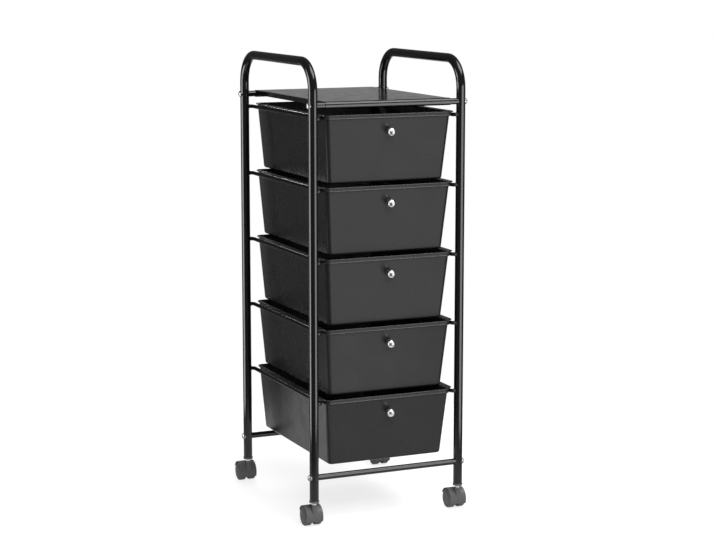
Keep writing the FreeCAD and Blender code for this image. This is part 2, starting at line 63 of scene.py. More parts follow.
bl_info = {
    "name": "Rolling Drawer Cart",
    "version": (1, 0, 0),
    "blender": (4, 5, 0),
    "location": "View3D > Sidebar > Drawer Cart",
    "description": "Dresses the drawer cart's solids with moulded drawers, coated tube, chrome and casters",
    "category": "Object",
}

# Names of the cart's repeated pieces
SIDES = {"left": -1, "right": 1}
ENDS = {"front": -1, "rear": 1}
CORNERS = [f"{end}_{side}" for end in ENDS for side in SIDES]
DRAWERS = range(1, 6)

# Camera, matched to the photograph
CAMERA_AZIMUTH = -23.94
CAMERA_RISE = math.radians(9.21)
CAMERA_DISTANCE = 4.0923
CAMERA_TARGET_X, CAMERA_TARGET_Z = 0.0189, 0.4957
SENSOR_WIDTH = 36.0

# Level direction straight behind the cart, as the camera sees it
BEHIND = (0.406, 0.914, 0.0)

# Sockets of a node that maps one span of values to another
SPAN_SOCKETS = ("From Min", "From Max", "To Min", "To Max")

# Lights on matt faces: azimuth, distance, height, width and depth
MATT_TARGET = (0.0, 0.0, 0.45)
MATT_LIGHTS = {
    "front_light": (-8.0, 2.5, 2.4, 2.2, 1.6),
    "rear_light": (165.0, 2.4, 2.2, 1.6, 1.2),
}

# Other lights: place, point that they look at, width and height
LIGHT_PLACES = {
    "top_light": ((0.9, -0.83, 2.77), (0.0, -0.1, 0.85), 1.6, 1.6),
    "right_strip": ((0.45, -0.95, 0.275), (0.0, -0.19, 0.275), 0.8, 1.45),
    "left_strip": ((-1.475, 0.284, 0.5), (-0.165, 0.0, 0.5), 0.9, 2.0),
    "drawer_sheen": ((0.18, -0.56, 0.47), (0.18, -0.2, 0.47), 0.8, 0.96),
    "corner_strip": ((-1.475, 0.284, 0.75), (-0.165, 0.0, 0.75), 0.7, 1.5),
    "edge_light": ((-0.5, 2.0, 1.75), (-0.15, 0.0, 0.75), 1.0, 0.5),
    "rim_light": ((0.9, -0.83, 2.77), (0.0, -0.1, 0.85), 1.6, 1.6),
}

# Lights that only the gloss of some finishes shows
GLOSSY = ("gloss_black_coat", "dull_chrome", "zinc_plate")
GLOSS_LIGHTS = (
    (GLOSSY + ("panel_black_coat", "rail_black_coat"), ("right_strip",)),
    (GLOSSY, ("left_strip",)),
    (("satin_black_plastic",), ("drawer_sheen", "corner_strip", "edge_light", "rim_light")),
)

# Moulded and turned details in metres: (inset, rise) pairs of the drawer's floor and foot, (reach, drop)
# pairs of its lip, (flare, height) pairs of the knob's neck, and (radius, depth) pairs of the wheel's face
FLOOR_STEP = ((0.034, 0.0012), (0.031, 0.0012), (0.0298, 0.0009), (0.029, 0.0002), (0.028, 0.0))
LIP_WAIST = ((0.0005, 0.0052), (0.0003, 0.0044), (0.0004, 0.0032))
FOOT_RECESS = ((0.014, 0.0), (0.0148, 0.0003), (0.0156, 0.001), (0.02, 0.001))
NECK_FLARE = ((0.0012, 0.0017), (0.0004, 0.0024), (0.0, 0.0032))
WHEEL_FACE = ((0.0163, 0.0), (0.0158, 0.0002), (0.0154, 0.0007), (0.0144, 0.0007), (0.014, 0.0002),
              (0.0135, 0.0), (0.0105, 0.0), (0.0075, 0.0), (0.0048, 0.0), (0.0044, 0.0002), (0.004, 0.0006),
              (0.002, 0.0006))
WHEEL_DOME = 0.0015

# Places measured on the solids
FRAME_LOW, FRAME_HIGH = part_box("right_side_frame")
TUBE_RADIUS = (FRAME_HIGH.x - FRAME_LOW.x) / 2
POST_X = (FRAME_HIGH.x + FRAME_LOW.x) / 2
POST_Y = {"front": FRAME_LOW.y + TUBE_RADIUS, "rear": FRAME_HIGH.y - TUBE_RADIUS}


class CartSizes(bpy.types.PropertyGroup):
    """Sizes of the moulded and turned details."""
    wing: FloatProperty(
        name="Wing width", description="Reach of the drawer's wings over the rails, beyond its sides",
        default=0.0144, unit="LENGTH", subtype="DISTANCE")
    wing_setback: FloatProperty(
        name="Wing setback", description="Distance from the front of the rim back to the wings",
        default=0.0193, unit="LENGTH", subtype="DISTANCE")
    wing_rear_setback: FloatProperty(
        name="Wing rear setback", description="Distance from the rear of the rim forward to the wings",
        default=0.071, unit="LENGTH", subtype="DISTANCE")
    wing_radius: FloatProperty(
        name="Wing corner radius", description="Radius of the wings' corners, seen from above",
        default=0.005, unit="LENGTH", subtype="DISTANCE")
    rim_overhang: FloatProperty(
        name="Rim overhang", description="Reach of the rim beyond the drawer's front and sides",
        default=0.0025, unit="LENGTH", subtype="DISTANCE")
    rear_overhang: FloatProperty(
        name="Rear overhang", description="Reach of the rim beyond the drawer's rear",
        default=0.004, unit="LENGTH", subtype="DISTANCE")
    side_draft: FloatProperty(
        name="Side draft", description="Slope of the drawer's sides",
        default=math.radians(4.5), unit="ROTATION", subtype="ANGLE")
    front_draft: FloatProperty(
        name="Front draft", description="Slope of the drawer's front",
        default=math.radians(6.2), unit="ROTATION", subtype="ANGLE")
    rear_draft: FloatProperty(
        name="Rear draft", description="Slope of the drawer's rear",
        default=math.radians(3.5), unit="ROTATION", subtype="ANGLE")
    wall: FloatProperty(
        name="Drawer wall", description="Thickness of the drawer's walls",
        default=0.0022, unit="LENGTH", subtype="DISTANCE")
    floor: FloatProperty(
        name="Drawer floor", description="Thickness of the drawer's floor",
        default=0.0024, unit="LENGTH", subtype="DISTANCE")
    corner_radius: FloatProperty(
        name="Corner radius", description="Radius of the drawer's upright corners",
        default=0.010, unit="LENGTH", subtype="DISTANCE")
    bottom_radius: FloatProperty(
        name="Bottom radius", description="Radius along the drawer's lower edges",
        default=0.0045, unit="LENGTH", subtype="DISTANCE")
    flange: FloatProperty(
        name="Flange thickness", description="Thickness of the drawer's flange",
        default=0.003, unit="LENGTH", subtype="DISTANCE")
    lip: FloatProperty(
        name="Lip height", description="Height of the turned down lip along the drawer's front",
        default=0.008, unit="LENGTH", subtype="DISTANCE")
    lip_return: FloatProperty(
        name="Lip return", description="How far the lip runs back along the drawer's sides",
        default=0.0323, unit="LENGTH", subtype="DISTANCE")
    knob_drop: FloatProperty(
        name="Knob drop", description="Height from the knob's seat up to the drawer's rim",
        default=0.0355, unit="LENGTH", subtype="DISTANCE")
    knob_ball: FloatProperty(
        name="Knob ball", description="Radius of the knob's ball",
        default=0.0095, unit="LENGTH", subtype="DISTANCE")
    knob_reach: FloatProperty(
        name="Knob reach", description="Distance from the knob's seat to its tip",
        default=0.021, unit="LENGTH", subtype="DISTANCE")
    weld_bead: FloatProperty(
        name="Weld bead", description="Radius of the weld bead where a rail meets a post",
        default=0.0011, unit="LENGTH", subtype="DISTANCE")
    bolt_head: FloatProperty(
        name="Bolt head", description="Radius of the crossbar bolts' heads",
        default=0.0065, unit="LENGTH", subtype="DISTANCE")


class CartFinishes(bpy.types.PropertyGroup):
    """Colours of the cart's finishes."""
    tube_coat: FloatVectorProperty(
        name="Tube coat", description="Gloss coat on the tubes and bars",
        default=(0.005, 0.005, 0.0052), size=3, min=0, max=1, subtype="COLOR")
    rail_coat: FloatVectorProperty(
        name="Rail coat", description="Coat on the drawer rails",
        default=(0.004, 0.004, 0.0041), size=3, min=0, max=1, subtype="COLOR")
    panel_coat: FloatVectorProperty(
        name="Panel coat", description="Gloss coat on the top panel",
        default=(0.008, 0.008, 0.0082), size=3, min=0, max=1, subtype="COLOR")
    drawer_plastic: FloatVectorProperty(
        name="Drawer plastic", description="Moulded plastic of the drawers",
        default=(0.021, 0.021, 0.0215), size=3, min=0, max=1, subtype="COLOR")
    hood_plastic: FloatVectorProperty(
        name="Hood plastic", description="Moulded plastic of the caster hoods and sockets",
        default=(0.13, 0.13, 0.132), size=3, min=0, max=1, subtype="COLOR")
    wheel_plastic: FloatVectorProperty(
        name="Wheel plastic", description="Moulded plastic of the wheels",
        default=(0.14, 0.14, 0.142), size=3, min=0, max=1, subtype="COLOR")
    chrome: FloatVectorProperty(
        name="Chrome", description="Bright plating of the knobs",
        default=(0.88, 0.88, 0.89), size=3, min=0, max=1, subtype="COLOR")
    # Knob neck: far darker than the chrome balls, painted shade where each ball shades its neck and seat
    neck: FloatVectorProperty(
        name="Knob neck", description="Darker plating of the knobs' necks",
        default=(0.12, 0.12, 0.122), size=3, min=0, max=1, subtype="COLOR")
    bolt: FloatVectorProperty(
        name="Bolt plating", description="Duller plating of the crossbar bolts",
        default=(0.3, 0.3, 0.305), size=3, min=0, max=1, subtype="COLOR")
    steel: FloatVectorProperty(
        name="Zinc steel", description="Plated steel of the stems, axles and screws",
        default=(0.62, 0.62, 0.61), size=3, min=0, max=1, subtype="COLOR")


class CartStage(bpy.types.PropertyGroup):
    """Light and camera."""
    front_power: FloatProperty(
        name="Front light", description="Power of the broad soft light on the drawer fronts",
        default=76.0, unit="POWER")
    rear_power: FloatProperty(
        name="Rear light", description="Power of the soft light on the back",
        default=40.0, unit="POWER")
    top_power: FloatProperty(
        name="Top light", description="Power of the soft light high on the right",
        default=44.0, unit="POWER")
    right_strip: FloatProperty(
        name="Right strip", description="Power of the upright strip that gloss shows on the right",
        default=15.4, unit="POWER")
    left_strip: FloatProperty(
        name="Left strip", description="Power of the upright strip that gloss shows on the left",
        default=36.8, unit="POWER")
    drawer_sheen: FloatProperty(
        name="Drawer sheen", description="Power of the panel close in front that the drawer fronts mirror",
        default=2.87, unit="POWER")
    corner_strip: FloatProperty(
        name="Corner strip", description="Power of the upright strip that the drawers' corners mirror",
        default=7.0, unit="POWER")
    edge_light: FloatProperty(
        name="Edge light", description="Power of the light behind that the drawers' side edges mirror",
        default=30.0, unit="POWER")
    rim_light: FloatProperty(
        name="Rim light", description="Power of the light above that the drawers' front rims mirror",
        default=20.0, unit="POWER")
    knob_tent: FloatProperty(
        name="Knob tent", description="Power of each soft wall that the knobs mirror",
        default=7.0, unit="POWER")
    ambient: FloatProperty(
        name="Ambient", description="Even light from the surroundings on matt surfaces",
        default=0.1, min=0, subtype="FACTOR")
    lens: FloatProperty(
        name="Lens", description="Focal length of the camera",
        default=95.69, unit="CAMERA")


def sizes():
    """The sizes set in the sidebar."""
    return bpy.context.scene.cart_sizes


def finishes():
    """The colours set in the sidebar."""
    return bpy.context.scene.cart_finishes


class Shader:
    """A material with a Principled shader, and the few node chains that the finishes share."""
    noise_span = (0.3, 0.7)

    def __init__(self, name, roughness, metallic=0.0, specular=0.5):
        self.material = bpy.data.materials.new(name)
        self.material.use_nodes = True
        self.nodes = self.material.node_tree.nodes
        self.links = self.material.node_tree.links
        self.body = self.nodes["Principled BSDF"]
        self.body.inputs["Roughness"].default_value = roughness
        self.body.inputs["Metallic"].default_value = metallic
        self.body.inputs["Specular IOR Level"].default_value = specular
        self.place = self.nodes.new("ShaderNodeTexCoord").outputs["Object"]

    def noise(self, scale, detail=3.0, stretch=(1, 1, 1)):
        """Noise in the object's own space, with its scale in waves per metre."""
        mapping = self.nodes.new("ShaderNodeMapping")
        mapping.inputs["Scale"].default_value = stretch
        self.links.new(self.place, mapping.inputs["Vector"])
        texture = self.nodes.new("ShaderNodeTexNoise")
        texture.inputs["Scale"].default_value = scale
        texture.inputs["Detail"].default_value = detail
        self.links.new(mapping.outputs["Vector"], texture.inputs["Vector"])
        return texture.outputs["Fac"]

    def mottle(self, colour, spread, scale):
        """Base colour that drifts a little lighter and darker over the surface."""
        ramp = self.nodes.new("ShaderNodeValToRGB")
        for element, position in zip(ramp.color_ramp.elements, self.noise_span):
            element.position = position
        ramp.color_ramp.elements[0].color = [c * (1 - spread) for c in colour] + [1]
        ramp.color_ramp.elements[1].color = [c * (1 + spread) for c in colour] + [1]
        self.links.new(self.noise(scale), ramp.inputs["Fac"])
        self.links.new(ramp.outputs["Color"], self.body.inputs["Base Color"])
        return self

    def sheen(self, low, high, scale, stretch=(1, 1, 1)):
        """Roughness that varies between two values, as on a handled surface."""
        span = self.nodes.new("ShaderNodeMapRange")
        for socket, number in zip(SPAN_SOCKETS, self.noise_span + (low, high)):
            span.inputs[socket].default_value = number
        self.links.new(self.noise(scale, detail=4.0, stretch=stretch), span.inputs["Value"])
        self.links.new(span.outputs["Result"], self.body.inputs["Roughness"])
        return self

    def grain(self, scale, strength, depth):
        """Fine relief: orange peel in a coat, or the etched grain of a mould."""
        bump = self.nodes.new("ShaderNodeBump")
        bump.inputs["Strength"].default_value = strength
        bump.inputs["Distance"].default_value = depth
        self.links.new(self.noise(scale, detail=2.0), bump.inputs["Height"])
        self.links.new(bump.outputs["Normal"], self.body.inputs["Normal"])
        return self


def coated_steel(name, colour, roughness):
    """Gloss coat over steel, with a faint orange peel."""
    shader = Shader(name, roughness, specular=0.5)
    shader.mottle(colour, spread=0.12, scale=35.0)
    shader.sheen(low=roughness - 0.02, high=roughness + 0.03, scale=40.0)
    return shader.grain(scale=240.0, strength=0.012, depth=0.0001).material


def moulded_plastic(name, colour, roughness, grain):
    """Moulded plastic with an etched grain and slightly uneven sheen."""
    shader = Shader(name, roughness, specular=0.4)
    shader.mottle(colour, spread=0.06, scale=14.0)
    shader.sheen(low=roughness - 0.05, high=roughness + 0.06, scale=22.0)
    return shader.grain(scale=grain, strength=0.02, depth=0.0002).material


def plated_metal(name, colour, roughness, stretch=(1, 1, 1)):
    """Plated metal with faint polishing marks."""
    shader = Shader(name, roughness, metallic=1.0)
    shader.mottle(colour, spread=0.04, scale=120.0)
    return shader.sheen(low=roughness * 0.7, high=roughness * 1.5, scale=300.0, stretch=stretch).material


def paint(node, material):
    """Give one of the solids a finish."""
    slots = NODES[node].data.materials
    slots.clear()
    slots.append(material)


def add_piece(name, verts, faces, material, body, stands_for=(), sharp=40.0):
    """Mesh piece that moves with a body and takes the finish of a slot."""
    mesh = bpy.data.meshes.new(name)
    mesh.from_pydata([tuple(v) for v in verts], [], faces)
    shell = bmesh.new()
    shell.from_mesh(mesh)
    bmesh.ops.recalc_face_normals(shell, faces=shell.faces)
    shell.to_mesh(mesh)
    shell.free()
    mesh.shade_smooth()
    mesh.set_sharp_from_angle(angle=math.radians(sharp))
    mesh.materials.append(material)
    piece = bpy.data.objects.new(name, mesh)
    bpy.context.scene.collection.objects.link(piece)
    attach(piece, body)
    if stands_for:
        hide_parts(*stands_for)
    return piece


class Shells:
    """Vertices and faces gathered from several closed shells."""

    def __init__(self):
        self.verts = []
        self.faces = []

    def loft(self, rings):
        """Skin a row of closed rings that all have the same number of points, and cap its ends."""
        start = len(self.verts)
        count = len(rings[0])
        for ring in rings:
            self.verts += ring
        for row in range(len(rings) - 1):
            low = start + row * count
            for i in range(count):
                j = (i + 1) % count
                self.faces.append((low + i, low + j, low + count + j, low + count + i))
        last = start + (len(rings) - 1) * count
        self.faces.append(tuple(start + i for i in reversed(range(count))))
        self.faces.append(tuple(last + i for i in range(count)))

    def torus_loft(self, rings):
        """Skin a closed row of closed rings."""
        start = len(self.verts)
        count = len(rings[0])
        for ring in rings:
            self.verts += ring
        for row in range(len(rings)):
            low = start + row * count
            high = start + (row + 1) % len(rings) * count
            for i in range(count):
                j = (i + 1) % count
                self.faces.append((low + i, low + j, high + j, high + i))

    def lathe(self, profile, place, segments=48):
        """Turn a profile of (radius, height) pairs that starts and ends on the axis."""
        start = len(self.verts)
        rows = profile[1:-1]
        self.verts.append(place @ Vector((0, 0, profile[0][1])))
        for radius, height in rows:
            self.verts += [place @ round_point(radius, angle, height) for angle in turns(segments)]
        self.verts.append(place @ Vector((0, 0, profile[-1][1])))
        first = start + 1
        last = first + (len(rows) - 1) * segments
        for i in range(segments):
            j = (i + 1) % segments
            self.faces.append((start, first + j, first + i))
            self.faces.append((len(self.verts) - 1, last + i, last + j))
            for row in range(len(rows) - 1):
                low = first + row * segments
                self.faces.append((low + i, low + j, low + segments + j, low + segments + i))


def turns(count):
    """Evenly spaced angles round a circle."""
    return [2 * math.pi * i / count for i in range(count)]


def round_point(radius, angle, height):
    """Point at a radius, angle and height about the axis of a turned form."""
    return Vector((radius * math.cos(angle), radius * math.sin(angle), height))


def arc(centre, radius, start, end, steps):
    """Points along an arc, angles in degrees."""
    points = []
    for i in range(steps + 1):
        angle = math.radians(start + (end - start) * i / steps)
        points.append((centre[0] + radius * math.cos(angle), centre[1] + radius * math.sin(angle)))
    return points


class DrawerForm:
    """Outlines of one drawer, worked out from its solid's box."""
    corner_steps, wing_steps, least_radius = 8, 4, 0.003

    def __init__(self, number):
        s = sizes()
        self.low, self.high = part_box(f"drawer_{number}")
        self.top = self.high.z
        self.half = self.high.x - s.wing
        self.front = self.low.y + s.rim_overhang
        self.rear = self.high.y - s.rear_overhang
        self.wing_front = self.low.y + s.wing_setback
        self.wing_rear = self.high.y - s.wing_rear_setback

    def ring(self, front_corner, wing, rear_corner, z):
        """Ring from the right half's points: front corner, wing or plain side, rear corner."""
        half = front_corner + wing + rear_corner
        mirrored = [(-x, y) for x, y in reversed(half)]
        return [Vector((x, y, z)) for x, y in half + mirrored]

    def corner(self, x, y, radius, rear):
        """Points of a right hand corner, going round from front to rear."""
        centre = (x - radius, y - radius if rear else y + radius)
        start = 0 if rear else -90
        return arc(centre, radius, start, start + 90, self.corner_steps)

    def body(self, inset, z):
        """Ring of the tapered body, drawn in by an inset."""
        s = sizes()
        drop = self.top - z
        x = self.half - drop * math.tan(s.side_draft) - inset
        front = self.front + drop * math.tan(s.front_draft) + inset
        rear = self.rear - drop * math.tan(s.rear_draft) - inset
        radius = max(s.corner_radius - inset, self.least_radius)
        step = s.wing_radius / self.wing_steps
        count = self.wing_steps + 1
        bends = (self.wing_front + front - self.front, self.wing_rear + rear - self.rear)
        side = [(x, y + step * (i + 0.5)) for y in bends for i in range(-count, count)]
        front_corner = self.corner(x, front, radius, rear=False)
        return self.ring(front_corner, side, self.corner(x, rear, radius, rear=True), z)

    def flange(self, inset, z):
        """Ring of the rim and wings, drawn in by an inset."""
        s = sizes()
        x = self.half + s.rim_overhang - inset
        wing_x = self.high.x - inset
        start, end = self.wing_front + inset, self.wing_rear - inset
        hollow, knuckle = s.wing_radius + inset, s.wing_radius - inset
        wing = arc((x + hollow, start - hollow), hollow, 180, 90, self.wing_steps)
        wing += arc((wing_x - knuckle, start + knuckle), knuckle, -90, 0, self.wing_steps)
        wing += arc((wing_x - knuckle, end - knuckle), knuckle, 0, 90, self.wing_steps)
        wing += arc((x + hollow, end + hollow), hollow, -90, -180, self.wing_steps)
        radius = s.corner_radius + s.rim_overhang - inset
        front_corner = self.corner(x, self.low.y + inset, radius, rear=False)
        return self.ring(front_corner, wing, self.corner(x, self.high.y - inset, radius, rear=True), z)

    def knob_place(self):
        """Matrix whose +Z leaves the sloping front at the knob's seat."""
        s = sizes()
        seat = Vector((0, self.front + s.knob_drop * math.tan(s.front_draft), self.top - s.knob_drop))
        return Matrix.Translation(seat) @ Matrix.Rotation(math.radians(90) + s.front_draft, 4, "X")


def drawer_shell(number):
    """Moulded drawer: raised floor, rounded walls, rolled flange and a recessed underside."""
    s = sizes()
    form = DrawerForm(number)
    bottom, top = form.low.z, form.top
    floor = bottom + s.floor
    inner_round = s.bottom_radius - s.wall
    rim, edge, root, root_curve = 0.0014, 0.001, 0.0012, 0.3
    rings = [form.body(s.wall + inset, floor + rise) for inset, rise in FLOOR_STEP]
    for r, z in arc((0, 0), inner_round, 90, 0, steps=5):
        rings.append(form.body(s.wall + inner_round - r, floor + inner_round - z))
    for r, z in arc((0, 0), rim, 0, 90, steps=4):
        rings.append(form.body(s.wall - rim + r, top - rim + z))
    for r, z in arc((0, 0), edge, 90, 0, steps=4):
        rings.append(form.flange(edge - r, top - edge + z))
    rings.append(form.flange(0.0, top - s.flange + edge / 2))
    rings.append(form.flange(edge / 2, top - s.flange))
    rings.append(form.body(-root, top - s.flange))
    rings.append(form.body(-root * root_curve, top - s.flange - root * root_curve))
    rings.append(form.body(0.0, top - s.flange - root))
    for r, z in arc((0, 0), s.bottom_radius, 0, -90, steps=6):
        rings.append(form.body(s.bottom_radius - r, bottom + s.bottom_radius + z))
    rings += [form.body(s.bottom_radius + inset, bottom + rise) for inset, rise in FOOT_RECESS]
    shells = Shells()
    shells.loft(rings)
    front_lip(shells, form)
    return shells


def front_lip(shells, form):
    """Turned down lip round the front: a shallow waist under the rim and a rolled bead along its foot."""
    s = sizes()
    edge, bead, bead_inset, tuck, back, buried = 0.001, 0.0013, 0.0003, 0.0006, -0.0008, 0.0013
    low = form.top - edge - s.lip
    section = [(tuck, form.top - buried), (back, form.top - buried), (back, low + bead)]
    section += [(r - bead_inset, low + bead + z) for r, z in arc((0, 0), bead, -160, 60, steps=9)]
    section += [(reach, form.top - drop) for reach, drop in LIP_WAIST]
    radius = s.corner_radius + s.rim_overhang
    middle_r = radius - edge
    corner_x = form.half + s.rim_overhang - radius
    corner_y = form.low.y + radius
    steps = form.corner_steps
    stations = [(corner_x, form.low.y + s.lip_return, 90.0)]
    stations += [(corner_x, corner_y, 90.0 * i / steps) for i in range(steps, -1, -1)]
    stations += [(-x, y, -angle) for x, y, angle in reversed(stations)]
    rings = []
    for x, y, degrees in stations:
        angle = math.radians(degrees)
        outward = Vector((math.sin(angle), -math.cos(angle), 0))
        middle = Vector((x, y, 0)) + outward * middle_r
        rings.append([middle + outward * u + Vector((0, 0, z)) for u, z in section])
    shells.loft(rings)


def knob_profiles():
    """Turned profiles of a ball knob: the ball, and the seat with its flared neck."""
    s = sizes()
    ball, reach = s.knob_ball, s.knob_reach
    base, neck, under, over, shoulder = 0.006, 0.0035, 0.0003, 0.0005, 0.0009
    centre, near_pole = reach - ball, 89.0
    foot = [(0, 0.0), (base - under, 0.0)]
    foot += arc((base - under, under), under, -90, 0, steps=2)
    foot += arc((base - over, shoulder), over, 0, 90, steps=3)
    foot += [(neck + flare, height) for flare, height in NECK_FLARE]
    foot += [(neck, centre), (0, centre)]
    round_ball = [(0, centre - ball)] + arc((0, centre), ball, -near_pole, near_pole, steps=30) + [(0, reach)]
    return round_ball, foot


def hex_radius(apothem, angle):
    """Distance from the centre to the wall of a six sided socket."""
    sixth = math.pi / 3
    return apothem / math.cos((angle + sixth / 2) % sixth - sixth / 2)


def bolt_head(shells, place):
    """Domed head with a six sided socket, its skirt running down to the round post."""
    radius = sizes().bolt_head
    rim, dome, seat, socket, depth = 0.0012, 0.0034, -0.0027, 0.0021, 0.0022
    ease, bevel, lip, cone, taper, point = 0.0003, 0.0001, 0.0004, 0.0004, 0.97, 0.2
    segments, steps = 48, 8
    sphere = (radius ** 2 + dome ** 2) / (2 * dome)
    mouth = socket / math.cos(math.pi / 6)
    rows = [(radius, seat), (radius, rim - ease), (radius - bevel, rim)]
    for i in range(1, steps + 1):
        r = radius + (mouth + lip - radius) * i / steps
        rows.append((r, rim + dome - sphere + math.sqrt(sphere ** 2 - r ** 2)))
    crown = rows[-1][1]
    rings = [[place @ round_point(r, a, z) for a in turns(segments)] for r, z in rows]
    for scale, z in ((1.0, crown - bevel), (taper, crown - depth), (point, crown - depth - cone)):
        rings.append([place @ round_point(hex_radius(socket, a) * scale, a, z) for a in turns(segments)])
    shells.loft(rings)


def weld_bead(shells, centre, side, rail_radius):
    """Bead round a rail's end, where the rod runs square into the round post."""
    bead = sizes().weld_bead
    ripple, ripples, segments, round_steps = 0.14, 9, 28, 10
    rings = []
    for angle in turns(segments):
        y, z = rail_radius * math.cos(angle), rail_radius * math.sin(angle)
        x = -math.sqrt(TUBE_RADIUS ** 2 - y ** 2)
        foot = Vector((centre.x + side * x, centre.y + y, centre.z + z))
        out = Vector((0, math.cos(angle), math.sin(angle)))
        along = Vector((-side, 0, 0))
        swell = bead * (1 + ripple * math.sin(ripples * angle))
        rings.append([foot + (out * math.cos(b) + along * math.sin(b)) * swell for b in turns(round_steps)])
    shells.torus_loft(rings)


def wheel_profile(width):
    """Turned profile of a caster wheel: recessed inside, rounded tread and a capped outside."""
    radius, shoulder, half_groove, groove_depth, wall = 0.02, 0.0025, 0.0008, 0.0005, 0.0004
    hub, hub_face, hub_ease, rim, recess, bevel = 0.0065, 0.001, 0.0003, 0.0165, 0.005, 0.0004
    cap, groove, crown = radius - shoulder, width / 2, width + WHEEL_DOME
    profile = [(0, hub_face), (hub - hub_ease, hub_face), (hub, hub_face + hub_ease), (hub, recess)]
    profile += [(rim, recess), (rim, bevel), (rim + bevel, 0.0)]
    profile += [(cap + r, shoulder + z) for r, z in arc((0, 0), shoulder, -90, 0, steps=6)]
    profile += [(radius, groove - half_groove), (radius - groove_depth, groove - wall)]
    profile += [(radius - groove_depth, groove + wall), (radius, groove + half_groove)]
    profile += [(cap + r, width - shoulder + z) for r, z in arc((0, 0), shoulder, 0, 90, steps=6)]
    sphere = (cap ** 2 + WHEEL_DOME ** 2) / (2 * WHEEL_DOME)
    for r, sunk in WHEEL_FACE:
        profile.append((r, crown - sphere + math.sqrt(sphere ** 2 - r ** 2) - sunk))
    profile.append((0, crown - WHEEL_FACE[-1][1]))
    return profile


class CART_OT_frame(bpy.types.Operator):
    """Coats the side frames, crossbars and rails and welds the rails to the posts"""
    bl_idname = "drawer_cart.tube_frame"
    bl_label = "Tube Frame"

    def execute(self, context):
        coat = coated_steel("gloss_black_coat", finishes().tube_coat, roughness=0.13)
        tubes = [f"{side}_side_frame" for side in SIDES]
        tubes += [f"{level}_{end}_crossbar" for level in ("top", "bottom") for end in ENDS]
        for node in tubes:
            paint(node, coat)
        rod = coated_steel("rail_black_coat", finishes().rail_coat, roughness=0.3)
        for number in DRAWERS:
            for side in SIDES:
                paint(f"drawer_rail_{number}_{side}", rod)
        for name, side in SIDES.items():
            shells = Shells()
            for number in DRAWERS:
                low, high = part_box(f"drawer_rail_{number}_{name}")
                radius = (high.z - low.z) / 2
                for y in POST_Y.values():
                    weld_bead(shells, Vector((side * POST_X, y, (low.z + high.z) / 2)), side, radius)
            add_piece(f"rail_welds_{name}", shells.verts, shells.faces, rod, "frame")
        return {"FINISHED"}


class CART_OT_top_panel(bpy.types.Operator):
    """Coats the folded top panel"""
    bl_idname = "drawer_cart.top_panel"
    bl_label = "Top Panel"

    def execute(self, context):
        paint("top_panel", coated_steel("panel_black_coat", finishes().panel_coat, roughness=0.16))
        return {"FINISHED"}


class CART_OT_bolts(bpy.types.Operator):
    """Builds the crossbar bolts' heads and finishes the plugs inside the bars"""
    bl_idname = "drawer_cart.crossbar_bolts"
    bl_label = "Crossbar Bolts"

    def execute(self, context):
        chrome = plated_metal("dull_chrome", finishes().bolt, roughness=0.34)
        shells = Shells()
        for level in ("top", "bottom"):
            for end, y in POST_Y.items():
                low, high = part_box(f"{level}_{end}_crossbar")
                for side in SIDES.values():
                    seat = Vector((side * (POST_X + TUBE_RADIUS), y, (low.z + high.z) / 2))
                    turn = Matrix.Rotation(math.radians(90) * side, 4, "Y")
                    bolt_head(shells, Matrix.Translation(seat) @ turn)
        add_piece("crossbar_bolt_heads", shells.verts, shells.faces, chrome, "frame",
                  ("crossbar_bolts",))
        grey = moulded_plastic("grey_plastic", colour=(0.05, 0.05, 0.05), roughness=0.5, grain=900.0)
        paint("crossbar_plugs", grey)
        return {"FINISHED"}


class CART_OT_drawers(bpy.types.Operator):
    """Moulds the drawers, with their flanges and front lips"""
    bl_idname = "drawer_cart.drawers"
    bl_label = "Drawers"

    def execute(self, context):
        colour = finishes().drawer_plastic
        plastic = moulded_plastic("satin_black_plastic", colour, roughness=0.28, grain=1100.0)
        for number in DRAWERS:
            shells = drawer_shell(number)
            add_piece(f"moulded_drawer_{number}", shells.verts, shells.faces, plastic,
                      f"drawer_{number}_body", (f"drawer_{number}",))
        return {"FINISHED"}


class CART_OT_knobs(bpy.types.Operator):
    """Turns the ball knobs and finishes their screws"""
    bl_idname = "drawer_cart.knobs"
    bl_label = "Knobs"

    def execute(self, context):
        chrome = plated_metal("bright_chrome", finishes().chrome, roughness=0.16)
        # The necks take a darkened copy of the chrome: painted shade round each knob's seat
        neck_shade = plated_metal("dark_chrome", finishes().neck, roughness=0.3)
        steel = plated_metal("screw_zinc", finishes().steel, roughness=0.3)
        for number in DRAWERS:
            place = DrawerForm(number).knob_place()
            body = f"drawer_{number}_body"
            round_ball, foot = (Shells() for _ in range(2))
            for shells, profile in zip((round_ball, foot), knob_profiles()):
                shells.lathe(profile, place, segments=64)
            add_piece(f"ball_knob_{number}", round_ball.verts, round_ball.faces, chrome, body,
                      (f"drawer_knob_{number}",))
            add_piece(f"knob_neck_{number}", foot.verts, foot.faces, neck_shade, body)
            paint(f"knob_screw_{number}", steel)
        return {"FINISHED"}


